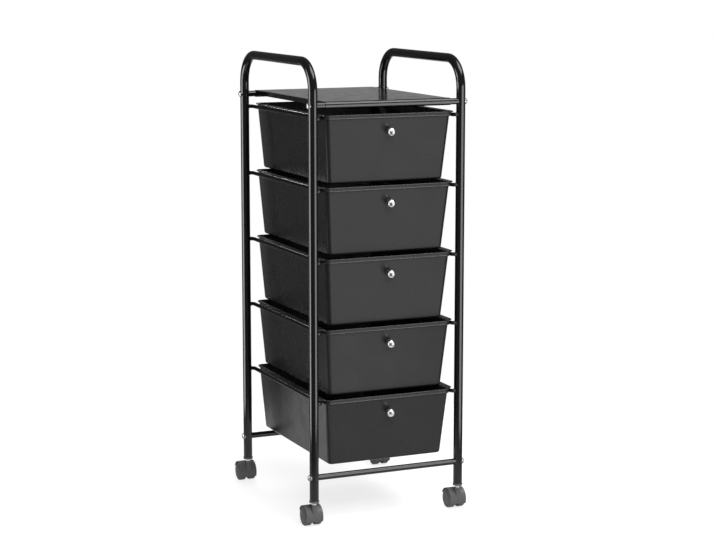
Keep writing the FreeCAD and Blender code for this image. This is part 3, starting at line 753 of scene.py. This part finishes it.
class CART_OT_casters(bpy.types.Operator):
    """Builds the caster wheels and finishes the hoods, stems, axles and sockets"""
    bl_idname = "drawer_cart.casters"
    bl_label = "Casters"

    def execute(self, context):
        hood = moulded_plastic("hood_black", finishes().hood_plastic, roughness=0.42, grain=800.0)
        tread = moulded_plastic("tread_black", finishes().wheel_plastic, roughness=0.48, grain=800.0)
        steel = plated_metal("zinc_plate", finishes().steel, roughness=0.22, stretch=(1, 1, 12))
        for corner in CORNERS:
            paint(f"caster_socket_{corner}", hood)
            paint(f"caster_hood_{corner}", hood)
            paint(f"caster_stem_{corner}", steel)
            paint(f"caster_axle_{corner}", steel)
            for name, side in SIDES.items():
                node = f"caster_wheel_{corner}_{name}"
                low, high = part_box(node)
                inner = low.x if side > 0 else high.x
                place = Matrix.Translation((inner, (low.y + high.y) / 2, (low.z + high.z) / 2))
                place = place @ Matrix.Rotation(math.radians(90) * side, 4, "Y")
                shells = Shells()
                shells.lathe(wheel_profile(high.x - low.x - WHEEL_DOME), place, segments=72)
                add_piece(f"wheel_{corner}_{name}", shells.verts, shells.faces, tread,
                          f"caster_{corner}_wheel_{name}_body", (node,), sharp=30.0)
        return {"FINISHED"}


def aim(thing, target):
    """Turn a lamp or camera towards a point."""
    thing.rotation_euler = (target - thing.location).to_track_quat("-Z", "Y").to_euler()


def soft_light(name, place, target, width, height, power):
    """Rectangular soft light."""
    lamp = bpy.data.lights.new(name, "AREA")
    lamp.shape = "RECTANGLE"
    lamp.size, lamp.size_y = width, height
    lamp.energy = power
    light = bpy.data.objects.new(name, lamp)
    bpy.context.scene.collection.objects.link(light)
    light.location = place
    aim(light, Vector(target))
    return light


def around(azimuth, distance, height):
    """Point round the cart: azimuth 0 is in front of the drawers and 90 to their right."""
    angle = math.radians(azimuth)
    return Vector((math.sin(angle) * distance, -math.cos(angle) * distance, height))


def pieces_of(name, materials):
    """Collection of the pieces with some finishes, for the lights that only they show."""
    group = bpy.data.collections.new(name)
    for piece in bpy.context.scene.objects:
        if piece.active_material and piece.active_material.name in materials:
            group.objects.link(piece)
    return group


def solid_pieces():
    """Collection of the cart's pieces, which shade the gloss lights where the floor must not."""
    group = bpy.data.collections.get("cart_pieces") or bpy.data.collections.new("cart_pieces")
    for piece in bpy.context.scene.objects:
        if piece.type == "MESH" and piece.name != "studio_floor" and piece.name not in group.objects:
            group.objects.link(piece)
    return group


def gloss_only(light, pieces):
    """Let a light be seen in the gloss of some pieces and nowhere else."""
    light.visible_diffuse = False
    light.visible_camera = False
    light.light_linking.receiver_collection = pieces
    light.light_linking.blocker_collection = solid_pieces()


def knob_tent(power):
    """Soft walls left, right and above that the knobs mirror, open towards the camera."""
    knobs = pieces_of("knob_pieces", ("bright_chrome",))
    knob_row = Vector((0.0, -0.2, 0.55))
    ahead, aside, width, height = 0.62, 0.9, 1.5, 1.6
    out = around(CAMERA_AZIMUTH, 1.0, 0.0)
    right = Vector((-out.y, out.x, 0.0))
    middle = knob_row + out * ahead
    for name, side in (("left", -right), ("right", right), ("top", Vector((0, 0, 1)))):
        place = middle + side * aside
        gloss_only(soft_light(f"knob_tent_{name}", place, place - side, width, height, power), knobs)


def stage_lights(stage):
    """Soft lights on matt faces, and the strips and panels that only gloss shows."""
    powers = {"front_light": stage.front_power, "rear_light": stage.rear_power}
    for name, (azimuth, distance, height, width, depth) in MATT_LIGHTS.items():
        light = soft_light(name, around(azimuth, distance, height), MATT_TARGET, width, depth, powers[name])
        light.visible_glossy = False
    soft_light("top_light", *LIGHT_PLACES["top_light"], stage.top_power)
    for finish_names, lights in GLOSS_LIGHTS:
        shown_in = pieces_of(f"{lights[0]}_pieces", finish_names)
        for name in lights:
            gloss_only(soft_light(name, *LIGHT_PLACES[name], getattr(stage, name)), shown_in)
    knob_tent(stage.knob_tent)


def ramp_node(tree, value, span, levels):
    """Smooth step of a value across a span, from one level to another."""
    step = tree.nodes.new("ShaderNodeMapRange")
    step.interpolation_type = "SMOOTHSTEP"
    for socket, number in zip(SPAN_SOCKETS, span + levels):
        step.inputs[socket].default_value = number
    tree.links.new(value, step.inputs["Value"])
    return step.outputs["Result"]


def math_node(tree, operation, first, second):
    """One sum of two values in a node tree."""
    node = tree.nodes.new("ShaderNodeMath")
    node.operation = operation
    tree.links.new(first, node.inputs[0])
    tree.links.new(second, node.inputs[1])
    return node.outputs["Value"]


def mirrored_studio(tree):
    """What gloss reflects: the white background low behind the cart, and a dim studio elsewhere."""
    place = tree.nodes.new("ShaderNodeTexCoord").outputs["Generated"]
    axes = tree.nodes.new("ShaderNodeSeparateXYZ")
    tree.links.new(place, axes.inputs["Vector"])
    behind = tree.nodes.new("ShaderNodeVectorMath")
    behind.operation = "DOT_PRODUCT"
    tree.links.new(place, behind.inputs[0])
    behind.inputs[1].default_value = BEHIND
    far = ramp_node(tree, behind.outputs["Value"], span=(0.75, 0.95), levels=(0.0, 0.53))
    low = ramp_node(tree, axes.outputs["Z"], span=(0.02, 0.13), levels=(1.0, 0.0))
    dim = ramp_node(tree, axes.outputs["Y"], span=(-0.2, 0.5), levels=(0.14, 0.1))
    return math_node(tree, "ADD", dim, math_node(tree, "MULTIPLY", far, low))


def studio_world(ambient):
    """White for the camera, the mirrored studio for gloss, and even light for matt faces."""
    world = bpy.data.worlds.new("studio")
    bpy.context.scene.world = world
    world.use_nodes = True
    tree = world.node_tree
    tree.nodes.clear()
    path = tree.nodes.new("ShaderNodeLightPath")
    matt, mirror, seen = (tree.nodes.new("ShaderNodeBackground") for _ in range(3))
    for ground in (matt, mirror, seen):
        ground.inputs["Color"].default_value = (1, 1, 1, 1)
    matt.inputs["Strength"].default_value = ambient
    tree.links.new(mirrored_studio(tree), mirror.inputs["Strength"])
    shiny = math_node(tree, "MAXIMUM", path.outputs["Is Glossy Ray"], path.outputs["Is Transmission Ray"])
    first, second = tree.nodes.new("ShaderNodeMixShader"), tree.nodes.new("ShaderNodeMixShader")
    tree.links.new(shiny, first.inputs["Fac"])
    tree.links.new(matt.outputs["Background"], first.inputs[1])
    tree.links.new(mirror.outputs["Background"], first.inputs[2])
    tree.links.new(path.outputs["Is Camera Ray"], second.inputs["Fac"])
    tree.links.new(first.outputs["Shader"], second.inputs[1])
    tree.links.new(seen.outputs["Background"], second.inputs[2])
    out = tree.nodes.new("ShaderNodeOutputWorld")
    tree.links.new(second.outputs["Shader"], out.inputs["Surface"])


def studio_floor():
    """Round white floor that keeps the cart's soft shadow, and that gloss shows bright under the cart."""
    reach, segments = 0.9, 96
    bounce_grey, shade_grey, glow_strength = 0.5, 0.4, 0.78
    rim = [(reach * math.cos(a), reach * math.sin(a), 0) for a in turns(segments)]
    mesh = bpy.data.meshes.new("studio_floor")
    mesh.from_pydata(rim, [], [tuple(range(segments))])
    floor = bpy.data.objects.new("studio_floor", mesh)
    bpy.context.scene.collection.objects.link(floor)
    material = bpy.data.materials.new("studio_white")
    material.use_nodes = True
    tree = material.node_tree
    tree.nodes.clear()
    bounce, shade = (tree.nodes.new("ShaderNodeBsdfDiffuse") for _ in range(2))
    bounce.inputs["Color"].default_value = (bounce_grey, bounce_grey, bounce_grey, 1)
    shade.inputs["Color"].default_value = (shade_grey, shade_grey, shade_grey, 1)
    glow, mirrored = (tree.nodes.new("ShaderNodeEmission") for _ in range(2))
    glow.inputs["Strength"].default_value = glow_strength
    away = tree.nodes.new("ShaderNodeVectorMath")
    away.operation = "LENGTH"
    tree.links.new(tree.nodes.new("ShaderNodeTexCoord").outputs["Object"], away.inputs[0])
    fade = ramp_node(tree, away.outputs["Value"], span=(0.5, 0.8), levels=(0.75, 0.16))
    tree.links.new(fade, mirrored.inputs["Strength"])
    both = tree.nodes.new("ShaderNodeAddShader")
    tree.links.new(shade.outputs["BSDF"], both.inputs[0])
    tree.links.new(glow.outputs["Emission"], both.inputs[1])
    path = tree.nodes.new("ShaderNodeLightPath")
    unseen, mix = (tree.nodes.new("ShaderNodeMixShader") for _ in range(2))
    tree.links.new(path.outputs["Is Glossy Ray"], unseen.inputs["Fac"])
    tree.links.new(bounce.outputs["BSDF"], unseen.inputs[1])
    tree.links.new(mirrored.outputs["Emission"], unseen.inputs[2])
    seen = math_node(tree, "MAXIMUM", path.outputs["Is Camera Ray"], path.outputs["Is Transmission Ray"])
    tree.links.new(seen, mix.inputs["Fac"])
    tree.links.new(unseen.outputs["Shader"], mix.inputs[1])
    tree.links.new(both.outputs["Shader"], mix.inputs[2])
    out = tree.nodes.new("ShaderNodeOutputMaterial")
    tree.links.new(mix.outputs["Shader"], out.inputs["Surface"])
    mesh.materials.append(material)


class CART_OT_stage(bpy.types.Operator):
    """Sets the floor, the soft lights and the camera"""
    bl_idname = "drawer_cart.stage"
    bl_label = "Stage"

    def execute(self, context):
        scene = context.scene
        stage = scene.cart_stage
        scene.view_settings.view_transform = "Standard"
        studio_floor()
        studio_world(stage.ambient)
        stage_lights(stage)
        camera = bpy.data.objects.new("camera", bpy.data.cameras.new("camera"))
        scene.collection.objects.link(camera)
        camera.data.sensor_width = SENSOR_WIDTH
        camera.data.lens = stage.lens
        azimuth, level = math.radians(CAMERA_AZIMUTH), math.cos(CAMERA_RISE)
        target = Vector((CAMERA_TARGET_X, sum(POST_Y.values()) / 2, CAMERA_TARGET_Z))
        back = Vector((math.sin(azimuth) * level, -math.cos(azimuth) * level, math.sin(CAMERA_RISE)))
        camera.location = target + back * CAMERA_DISTANCE
        aim(camera, target)
        scene.camera = camera
        return {"FINISHED"}


class CART_PT_sidebar(bpy.types.Panel):
    """Lists the cart's pieces and the values that shape them"""
    bl_idname = "CART_PT_sidebar"
    bl_label = "Drawer Cart"
    bl_space_type = "VIEW_3D"
    bl_region_type = "UI"
    bl_category = "Drawer Cart"

    def draw(self, context):
        for group in (context.scene.cart_sizes, context.scene.cart_finishes, context.scene.cart_stage):
            box = self.layout.box()
            for name in group.__annotations__:
                box.prop(group, name)
        for operator in OPERATORS:
            self.layout.operator(operator.bl_idname)


OPERATORS = (CART_OT_frame, CART_OT_top_panel, CART_OT_bolts, CART_OT_drawers, CART_OT_knobs, CART_OT_casters,
             CART_OT_stage)
CLASSES = (CartSizes, CartFinishes, CartStage) + OPERATORS + (CART_PT_sidebar,)


def register():
    for cls in CLASSES:
        bpy.utils.register_class(cls)
    bpy.types.Scene.cart_sizes = PointerProperty(type=CartSizes)
    bpy.types.Scene.cart_finishes = PointerProperty(type=CartFinishes)
    bpy.types.Scene.cart_stage = PointerProperty(type=CartStage)


def unregister():
    del bpy.types.Scene.cart_stage
    del bpy.types.Scene.cart_finishes
    del bpy.types.Scene.cart_sizes
    for cls in reversed(CLASSES):
        bpy.utils.unregister_class(cls)


def main():
    register()
    bpy.ops.drawer_cart.tube_frame()
    bpy.ops.drawer_cart.top_panel()
    bpy.ops.drawer_cart.crossbar_bolts()
    bpy.ops.drawer_cart.drawers()
    bpy.ops.drawer_cart.knobs()
    bpy.ops.drawer_cart.casters()
    bpy.ops.drawer_cart.stage()


if __name__ == "__main__":
    main()
